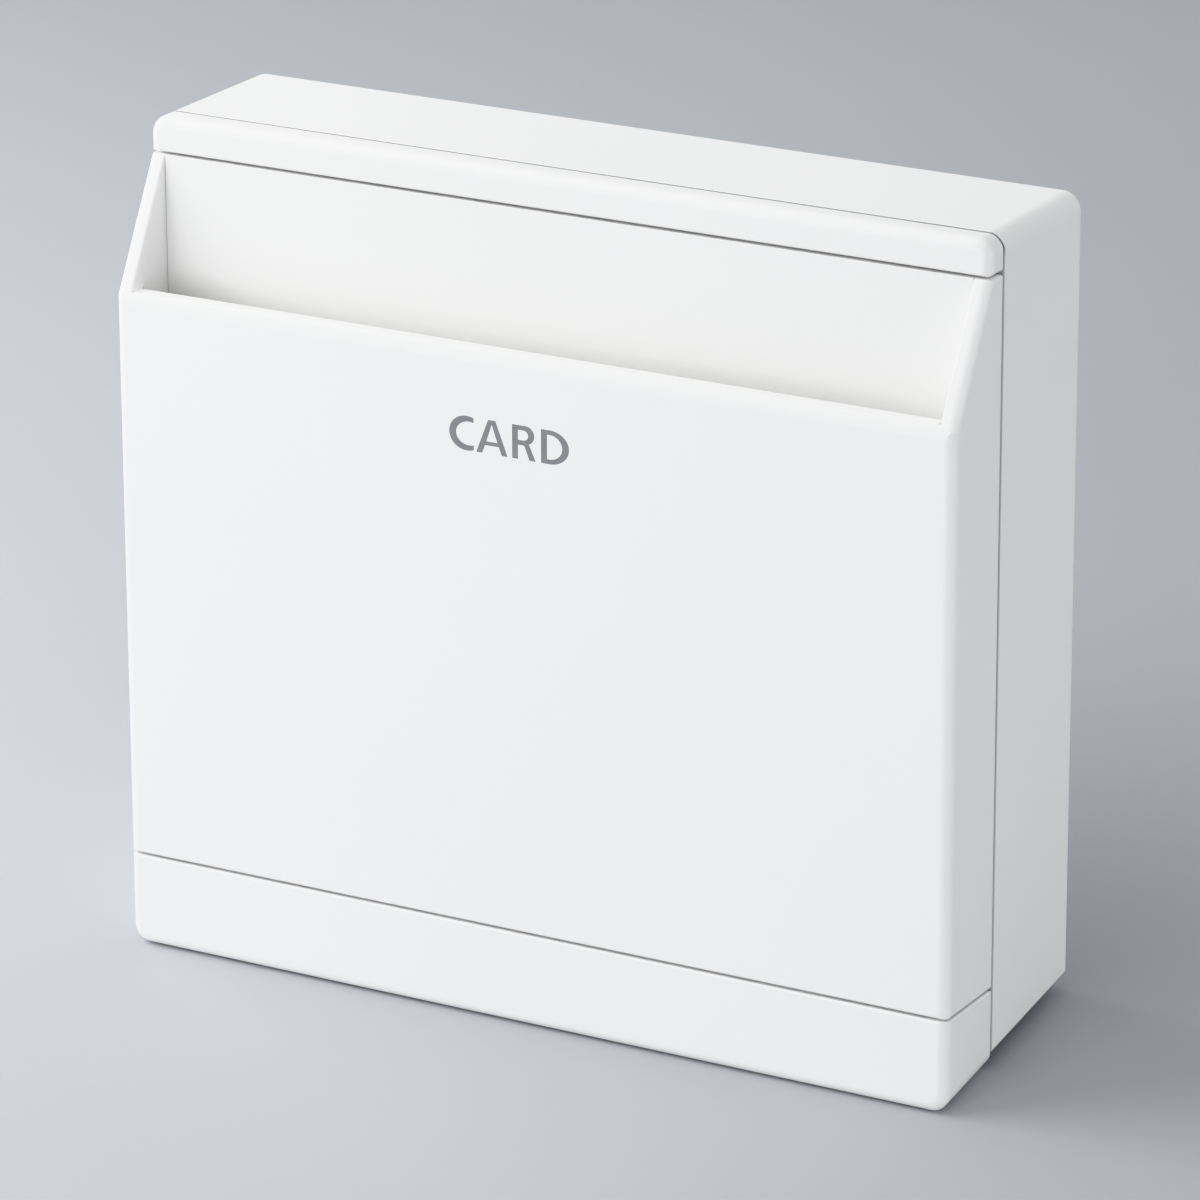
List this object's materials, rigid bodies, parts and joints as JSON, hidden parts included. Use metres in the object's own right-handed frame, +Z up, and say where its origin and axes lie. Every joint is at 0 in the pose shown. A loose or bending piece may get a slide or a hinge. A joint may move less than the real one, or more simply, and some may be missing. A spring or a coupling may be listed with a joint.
{
  "type": "hotel key card switch",
  "caption": "Wall-mounted hotel key card switch: a white box with an open-topped card pocket and slanted cheeks, whose sprung lever works a microswitch and a delay timer.",
  "frame": {"origin": "on the wall face, at half the body's width and height", "axes": "+X to the right as seen from the front, +Y into the wall, +Z up; the front faces -Y"},
  "size_m": [0.1, 0.028, 0.0919],
  "materials": {
    "shell_white": "satin, fine and even",
    "lever_grey": "satin",
    "pin_steel": "ground",
    "clip_steel": "dark spring steel",
    "spring_steel": "drawn wire",
    "switch_black": "satin",
    "plunger_red": "smooth",
    "board_green": "lacquered",
    "relay_blue": "satin",
    "film_yellow": "smooth",
    "sleeve_black": "shrunk sleeve",
    "disc_blue": "dipped",
    "fuse_brown": "satin",
    "chip_black": "matt",
    "tinned_lead": "tinned",
    "block_green": "satin",
    "clamp_brass": "plain",
    "plated_screw": "nickel plated",
    "zinc_screw": "zinc plated"
  },
  "bodies": {
    "housing": {"wall_base": "shell_white", "pocket_front": "shell_white", "pocket_back": "shell_white", "top_bar": "shell_white", "bottom_strip": "shell_white", "lever_pin": "pin_steel", "pin_clip": "clip_steel", "return_spring": "spring_steel", "switch_case": "switch_black", "circuit_board": "board_green", "relay": "relay_blue", "film_capacitor": "film_yellow", "filter_capacitor": "sleeve_black", "varistor": "disc_blue", "fuse_link": "fuse_brown", "timer_chip": "chip_black", "component_leads": "tinned_lead", "terminal_blocks": "block_green", "terminal_clamps": "clamp_brass", "terminal_screws": "plated_screw", "board_screws": "zinc_screw", "plate_screws": "zinc_screw", "front_screws": "zinc_screw"},
    "lever": {"card_lever": "lever_grey"},
    "plunger": {"switch_plunger": "plunger_red"}
  },
  "joints": [
    {"name": "lever_hinge", "type": "hinge", "parent": "housing", "child": "lever", "pos_m": [0, -0.0152, 0.011], "axis": [1, 0, 0], "range_deg": [0, 20], "stiffness_Nm_per_rad": 0.004, "springref_deg": -20.05, "deforming": ["return_spring"]},
    {"name": "plunger_slide", "type": "slide", "parent": "housing", "child": "plunger", "axis": [0, 1, 0], "range_m": [0, 0.0011]}
  ],
  "couplings": [
    {"joint": "plunger_slide", "follows": "lever_hinge", "m_per_rad": 0.003}
  ]
}
